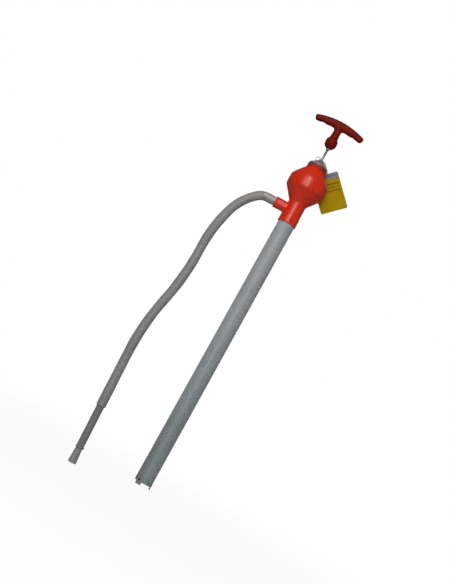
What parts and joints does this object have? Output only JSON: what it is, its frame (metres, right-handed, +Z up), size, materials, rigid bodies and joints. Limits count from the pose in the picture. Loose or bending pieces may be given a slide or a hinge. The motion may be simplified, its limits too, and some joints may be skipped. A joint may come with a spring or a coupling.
{
  "type": "hand bilge pump",
  "caption": "Hand-worked lift pump: clear tube barrel with a toothed foot, red bulb head with side spout, T handle on a steel rod, corrugated discharge hose and a swing tag.",
  "frame": {"origin": "middle of the pump's foot, on the barrel axis, in the plane of the tooth tips", "axes": "+Z runs up the barrel axis to the handle; the spout points along -X; +Y is the side the swing tag hangs on"},
  "size_m": [0.2693, 0.0895, 0.9185],
  "materials": {
    "barrel_pe": "milky translucent polyethylene, satin",
    "red_plastic": "moulded, semi-gloss",
    "cap_pe": "natural translucent polyethylene",
    "handle_red": "dark red, glossy",
    "rod_steel": "zinc plated, drawn",
    "fastener_zinc": "zinc plated",
    "insert_brass": "machined",
    "rubber_black": "smooth nitrile",
    "piston_plastic": "natural acetal",
    "pin_dark": "dark nylon",
    "cuff_pvc": "translucent, smooth",
    "hose_pvc": "translucent grey, ribbed",
    "tail_grey": "smooth grey",
    "tip_pe": "translucent, flared",
    "tag_card": "coated card, yellow with a grey head band",
    "cord": "thin braided cord"
  },
  "bodies": {
    "pump_body": {"barrel_tube": "barrel_pe", "pump_head": "red_plastic", "head_cap": "cap_pe", "rod_seal": "rubber_black", "foot_valve_body": "piston_plastic", "foot_valve_screw": "fastener_zinc", "foot_pins": "pin_dark"},
    "piston_seal": {"piston_cup": "rubber_black"},
    "rod_set": {"pump_rod": "rod_steel", "t_handle": "handle_red", "handle_insert": "insert_brass", "handle_lock_nut": "fastener_zinc", "piston_body": "piston_plastic", "cup_retainer": "piston_plastic", "valve_spacer": "fastener_zinc", "valve_stop_washer": "fastener_zinc", "piston_top_nut": "fastener_zinc", "piston_bottom_washer": "fastener_zinc", "piston_bottom_nut": "fastener_zinc"},
    "piston_valve": {"piston_valve_disc": "rubber_black"},
    "foot_valve": {"foot_valve_disc": "rubber_black"},
    "hose_head": {"hose_cuff": "cuff_pvc", "hose_top": "hose_pvc"},
    "hose_second": {"hose_upper": "hose_pvc"},
    "hose_third": {"hose_lower": "hose_pvc"},
    "hose_last": {"hose_bottom": "hose_pvc", "hose_tail": "tail_grey", "outlet_tip": "tip_pe"},
    "tag_loop": {"tag_cord": "cord"},
    "tag": {"tag_card": "tag_card"}
  },
  "joints": [
    {"name": "rod_stroke", "type": "slide", "parent": "pump_body", "child": "piston_seal", "axis": [0, 0, 1], "range_m": [0, 0.6]},
    {"name": "rod_turn", "type": "hinge", "parent": "piston_seal", "child": "rod_set", "pos_m": [0, 0, 0.03], "axis": [0, 0, 1], "continuous": true},
    {"name": "piston_valve_lift", "type": "slide", "parent": "rod_set", "child": "piston_valve", "axis": [0, 0, 1], "range_m": [0, 0.003]},
    {"name": "foot_valve_lift", "type": "slide", "parent": "pump_body", "child": "foot_valve", "axis": [0, 0, 1], "range_m": [0, 0.003]},
    {"name": "hose_swivel", "type": "hinge", "parent": "pump_body", "child": "hose_head", "pos_m": [-0.04, 0, 0.6599], "axis": [1, 0, 0], "range_deg": [-90, 90]},
    {"name": "hose_bend_1", "type": "hinge", "parent": "hose_head", "child": "hose_second", "pos_m": [-0.12114, 0, 0.59556], "axis": [0, 1, 0], "range_deg": [-4, 25]},
    {"name": "hose_bend_2", "type": "hinge", "parent": "hose_second", "child": "hose_third", "pos_m": [-0.13508, 0, 0.49243], "axis": [0, 1, 0], "range_deg": [-4, 25]},
    {"name": "hose_bend_3", "type": "hinge", "parent": "hose_third", "child": "hose_last", "pos_m": [-0.1476, 0, 0.3587], "axis": [0, 1, 0], "range_deg": [-4, 25]},
    {"name": "tag_turn", "type": "hinge", "parent": "pump_body", "child": "tag_loop", "pos_m": [0, 0, 0.7895], "axis": [0, 0, 1], "continuous": true},
    {"name": "tag_swing", "type": "hinge", "parent": "tag_loop", "child": "tag", "pos_m": [0.028, 0.04, 0.7696], "axis": [-0.1388, -0.9879, -0.0698], "range_deg": [-43, 25]}
  ],
  "couplings": [
    {"joint": "hose_bend_2", "follows": "hose_bend_1", "ratio": 1},
    {"joint": "hose_bend_3", "follows": "hose_bend_1", "ratio": 1}
  ]
}
